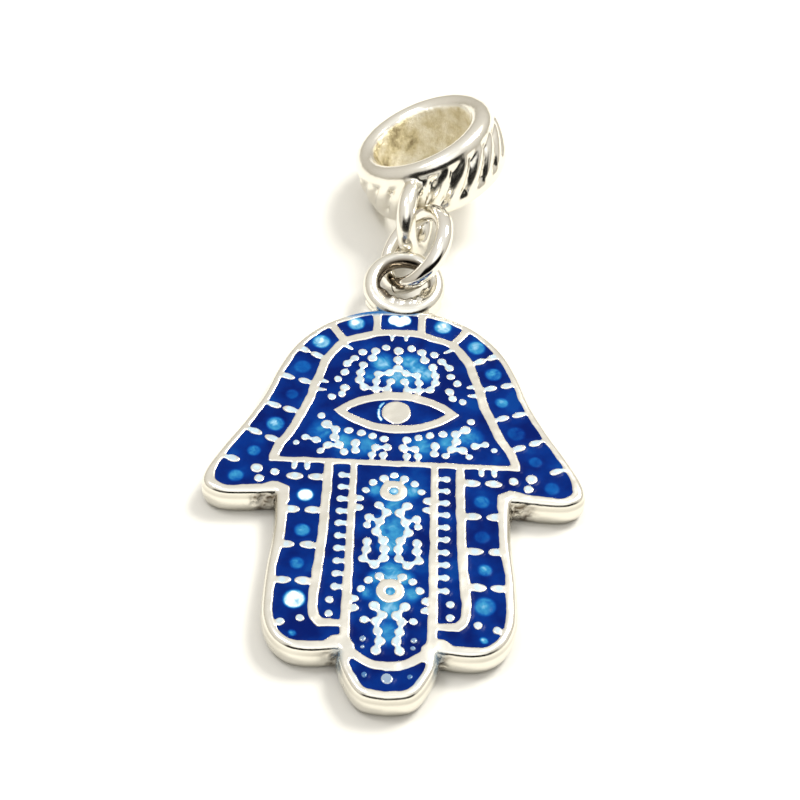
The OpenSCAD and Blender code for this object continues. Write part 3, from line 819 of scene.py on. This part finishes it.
def pose(place, *turns):
    """The matrix of a place, after turns in degrees about an axis each."""
    matrix = Matrix.Translation(place)
    for degrees, axis in turns:
        matrix = matrix @ Matrix.Rotation(radians(degrees), 4, axis)
    return matrix


def place_mesh(obj, matrix):
    """Moves an object's points, not the object."""
    obj.data.transform(matrix)
    return obj


def fuse(objects, voxel, rounds):
    """Joins closed shapes into one skin and rounds the creases between them."""
    with bpy.context.temp_override(active_object=objects[0], selected_editable_objects=objects):
        bpy.ops.object.join()
    skin = objects[0]
    remesh = skin.modifiers.new("one skin", "REMESH")
    remesh.mode, remesh.voxel_size, remesh.use_smooth_shade = "VOXEL", voxel, True
    soften = skin.modifiers.new("fillets", "SMOOTH")
    soften.factor, soften.iterations = 0.5, rounds
    return bake(skin)


# %% [markdown]
# The loop starts as a plain ring. Balls along its foot, its near arc and its shoulders stand for
# the metal that filled the mould there. Its eye gets painted shade, darker on the left than on
# the right.

# %% Plate loop
loop_x, loop_y, loop_radius = 0.14, 7.93, 1.53
loop_ring = ring_mesh("plate_loop", loop_radius, 0.41)
place_mesh(loop_ring, pose((loop_x, 7.929, 1.461), (10, "X")))
foot = (-1.1, 6.38), (-0.5, 6.3), (loop_x, 6.26), (0.8, 6.3), (1.35, 6.38)
lumps = [(x, y, 0.75, 0.4) for x, y in foot]
for turn in range(200, 350, 10):
    way = radians(turn)
    lumps.append((loop_x + 1.2 * cos(way), loop_y + 1.2 * sin(way), 1.27,
                  0.37 + 0.05 * sin(turn)))
for turn in range(206, 341, 8):
    way = radians(turn)
    lumps.append((loop_x + loop_radius * cos(way), 7.9 + 1.42 * sin(way), 0.95, 0.43))
fuse([loop_ring, *(place_mesh(ball(r), pose((x, y, z))) for x, y, z, r in lumps)], 0.05, 6)
x, y, z = np.array([v.co for v in loop_ring.data.vertices]).T
way = np.degrees(np.arctan2(y - loop_y, x - loop_x)) % 360
# Painted shade inside the loop's eye, stronger on its left side.
in_loop = np.clip((1.42 - np.hypot(x - loop_x, y - loop_y)) / 0.2, 0, 1)
put_attribute(loop_ring, "painted_shade", in_loop * np.where((way > 50) & (way < 240), 0.9, 0.3))
print("plate loop:", len(loop_ring.data.polygons), "faces")

# %% [markdown]
# ## The jump ring
# A jump ring is drawn wire, wound on a rod and cut, so its two ends meet at a fine seam. The tree
# says just that: an arc that stops short of a full turn, a round profile swept along it with closed
# ends, and a little noise for the marks of the pliers.

# %% Tree that bends the ring
tree, given = new_tree("Bend the jump ring", Float="middle_radius wire_radius seam seam_turn marks")
gap = maths(tree, "DIVIDE", given["seam"], given["middle_radius"])
start = maths(tree, "ADD", given["seam_turn"], times(tree, gap, 0.5))
sweep = maths(tree, "SUBTRACT", 2 * pi, gap)
arc = add(tree, "GeometryNodeCurveArc", {"Resolution": 160, "Radius": given["middle_radius"],
                                         "Start Angle": start, "Sweep Angle": sweep})
section = add(tree, "GeometryNodeCurvePrimitiveCircle",
              {"Resolution": 28, "Radius": given["wire_radius"]})
bent = add(tree, "GeometryNodeCurveToMesh",
           {"Curve": arc, "Profile Curve": section, "Fill Caps": True})
close_tree(tree, given, moved(tree, bent, noise_offset(tree, 1.1, given["marks"])))

jump_ring = make_mesh("jump_ring_wire", [])
run_tree(jump_ring, tree, middle_radius=1.95, wire_radius=0.41, seam=0.08,
         seam_turn=radians(47), marks=0.035, material=wire)
place_mesh(jump_ring, pose((0.62, 9.696, 2.221), (186.4, "Z"), (48.1, "Y")))
print("jump ring:", len(jump_ring.data.polygons), "faces")

# %% [markdown]
# ## The carrier bead
# The bead is a short tube with two round lips and a belt of slanted ribs between them, cast with a
# loop on its side. The lathe turns the tube, a tree stands one slanted rib on each point of a
# circle, and the fused skin makes one casting of them. It is made upright and laid down only at the
# end.

# %% Tree that sets the ribs
rib_tree, given = new_tree("Set the slanted ribs", Int="count", Float="radius slant", Object="rib")
tree = rib_tree
round_points = add(tree, "GeometryNodeMeshCircle",
                   {"Vertices": given["count"], "Radius": given["radius"]})
apart = add(tree, "ShaderNodeSeparateXYZ", {0: add(tree, "GeometryNodeInputPosition")})
turned = maths(tree, "ARCTAN2", apart.outputs[1], apart.outputs[0])
slanted = add(tree, "ShaderNodeCombineXYZ", {0: given["slant"], 2: turned})
rib_shape = add(tree, "GeometryNodeObjectInfo", {"Object": given["rib"]},
                transform_space="ORIGINAL")
close_tree(tree, given, add(tree, "GeometryNodeInstanceOnPoints", {
    "Points": round_points, "Instance": rib_shape.outputs["Geometry"], "Rotation": slanted}))

# %% Bead body, ribs and loop
bore, lip, ground, belly, rib_ring = 2.5, 0.58, 3.4, 3.58, 3.43
rib_deep, rib_wide, rib_long = 0.36, 0.42, 1.3
hook_turn, hook_stop = 98, bore + 0.12
arc = [(bore + lip + lip * cos(t), 0.97 + lip * sin(t))
       for t in np.linspace(pi, -acos((ground - bore - lip) / lip), 17)]
side = [(belly - 0.05, 0.3), (belly, 0), (belly - 0.05, -0.3)]
tube = lathe("carrier_bead_casting", arc + side + [(r, -z) for r, z in arc[::-1]])
rib = place_mesh(ball(1, 16), Matrix.Diagonal((rib_deep, rib_wide, rib_long, 1)))
belt = make_mesh("belt", [])
run_tree(belt, rib_tree, count=21, radius=rib_ring, slant=radians(-43), rib=rib, material=casting)
hook = ring_mesh("hook", 1.5, 0.475, 72, 24)
place_mesh(hook, pose((0, 0, 0), (hook_turn, "Z")) @ pose((4.15, 0, -0.8), (75, "X")))
for v in hook.data.vertices:
    reach = hypot(v.co.x, v.co.y)
    if reach < hook_stop:
        v.co.x, v.co.y = v.co.x / reach * hook_stop, v.co.y / reach * hook_stop
for obj in (tube, belt, hook):
    obj.data.materials.clear()
bead = fuse([tube, belt, hook], 0.06, 18)
bpy.data.objects.remove(rib)
print("bead:", len(bead.data.polygons), "faces")

# %% [markdown]
# The bore was never polished: it is rough and has a yellow brown tarnish. A spot behind the loop
# shares its mask as painted shade, and the tarnish is painted darker towards lower x as shade. The
# mask is painted from the distance to the bead's axis, which is easy to know while the bead still
# stands upright.

# %% Bead material and place
bead_gloss, bore_rough = 0.19, 0.55
bead_metal, tree, shader, tone = plated(
    "bright plated bead casting", ("#f4f1e8", "#e6e1d4"), bead_gloss, 0.9, 0.02, 0.0006)
bore_and_shade = painted(tree, "bore")
across = add(tree, "ShaderNodeSeparateXYZ", {0: add(tree, "ShaderNodeTexCoord").outputs["Object"]})
# Painted shade: the stain is shifted darker towards lower x, the left side of the bore.
blotch_and_shade = maths(tree, "ADD", noise(tree, 1.5, 7.0, Roughness=0.66),
                ranged(tree, across, -1.5 * MM, 3.8 * MM, -0.1, 0.13))
tarnish_and_shade = ramp(tree, blotch_and_shade, ((0.3, "#66502c"), (0.45, "#d9ceaa"), (0.62, "#f9f4e4")))
pits = times(tree, noise(tree, 0.35, 5.0, Roughness=0.65), bore_and_shade)
plating = shader.inputs["Normal"].links[0].from_socket
feed(shader, {"Base Color": mix(tree, bore_and_shade, tone, tarnish_and_shade),
              "Roughness": ranged(tree, bore_and_shade, 0.0, 1.0, bead_gloss, bore_rough),
              "Normal": bump(tree, pits, 0.16, Normal=plating)})

x, y, z = np.array([v.co for v in bead.data.vertices]).T
reach = np.hypot(x, y)
mask = np.clip((2.68 - reach) / 0.12, 0, 1) * np.clip((1.45 - np.abs(z)) / 0.2, 0, 1)
way = radians(hook_turn)
# Painted shade: a spot on the belt behind the loop is added to the bore's mask.
shade_behind_loop = spots(np.stack([x, y], axis=1), [(3.6 * cos(way), 3.6 * sin(way), 0.65, 0.9)])
mask = np.maximum(mask, shade_behind_loop * (np.abs(z + 0.5) < 0.7) * (reach < 3.85))
put_attribute(bead, "bore", mask)
place_mesh(bead, pose((1.24, 15.844, 2.82), (158.6, "Z"), (26.35, "Y")))

# %% [markdown]
# ## From millimetres to the frame
# Each finished mesh is brought to metres, gets its material, and takes the place of its solid.

# %% Finish the pieces
def finish(obj, material, node):
    """Brings a piece to metres and lets it stand for its solid."""
    place_mesh(obj, Matrix.Scale(MM, 4))
    obj.data.materials.clear()
    obj.data.materials.append(material)
    for face in obj.data.polygons:
        face.use_smooth = True
        face.material_index = 0
    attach(obj, "root")
    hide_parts(node)


finish(plate, casting, "hamsa_plate")
finish(loop_ring, casting, "hamsa_plate")
for cell, glass in poured_cells.items():
    finish(glass, enamel, "enamel_" + cell)
finish(jump_ring, wire, "jump_ring")
finish(bead, bead_metal, "carrier_bead")
for helper in (ovals, middles, ribbons, closed_bands, drawn_lines, notches, covered_dots):
    bpy.data.objects.remove(helper)

# %% [markdown]
# ## Table, light and camera
# The pendant lies on a white table under a wide soft sky. Bright metal needs something to mirror,
# so the sky is brighter overhead and has a bright patch high in front. Below that hangs a dark
# band, where the room is behind the camera, and it draws the black streaks on the ring and on the
# bead's belt.

# %% Table
corners = [(-1, -1), (1, -1), (1, 1), (-1, 1)]
table = make_mesh("table", [(x, y, -2e-5) for x, y in corners], [(0, 1, 2, 3)])
white, tree, shader = new_material("white matt card")
feed(shader, {"Base Color": colour("#e9e7e0"), "Roughness": 0.9})
table.data.materials.append(white)

# %% Sky
world = bpy.data.worlds.new("soft room")
bpy.context.scene.world = world
world.use_nodes = True
tree = world.node_tree
way = add(tree, "ShaderNodeTexCoord").outputs["Generated"]
height = add(tree, "ShaderNodeSeparateXYZ", {0: way}).outputs[2]
sky = ramp(tree, ranged(tree, height, -1.0, 1.0), (
    (0, "#d8d4cc"), (0.5, "#b4ada1"), (0.57, "#cfcac0"), (0.68, "#e2ded7"), (0.85, "#efece6"),
    (1, "#ffffff")))


def fade(value, low, high):
    """A soft step from 0 to 1 between two values, in either direction."""
    return ranged(tree, value, low, high, kind="SMOOTHSTEP")


def toward(direction):
    """How well a ray agrees with a direction: 1 along it, 0 across it."""
    return vectors(tree, "DOT_PRODUCT", way, tuple(Vector(direction).normalized())).outputs["Value"]


glow = fade(toward((0.05, -0.5, 0.86)), 0.88, 0.97)
band = times(tree, fade(toward((0.12, -0.95, 0.28)), 0.52, 0.72), fade(height, 0, 0.05),
             fade(height, 0.66, 0.54))
light = mix(tree, band, mix(tree, glow, sky, (1.4, 1.4, 1.38, 1)), "#080706")
feed(tree.nodes["Background"], {"Color": light})

# %% Lamps
def lamp(name, place, size, power, tint="#ffffff"):
    """A square soft light that faces the pendant."""
    data = bpy.data.lights.new(name, "AREA")
    data.size, data.energy, data.color = size, power, colour(tint)[:3]
    obj = into_scene(name, data)
    obj.location = place
    obj.rotation_euler = (Vector((0, 0, 0)) - Vector(place)).to_track_quat("-Z", "Y").to_euler()


lamp("window", (0.12, 0.1, 0.22), 0.09, 0.6, "#fffdf8")
lamp("ceiling", (-0.1, 0.02, 0.26), 0.06, 0.15, "#fdfcff")

# %% Camera
camera = bpy.data.cameras.new("camera")
camera.lens, camera.sensor_width = 71.69, 36
camera.clip_start, camera.clip_end = 0.001, 10
eye = into_scene("camera", camera)
right, up = (0.99902, 0.02528, 0.03642), (-0.04315, 0.74278, 0.66814)
back = (-0.01016, -0.66905, 0.74314)
turned = Matrix((right, up, back)).transposed().to_4x4()
eye.matrix_world = Matrix.Translation(Vector((-0.582, -46.448, 53.792)) * MM) @ turned
bpy.context.scene.camera = eye
bpy.context.scene.view_settings.view_transform = "Standard"
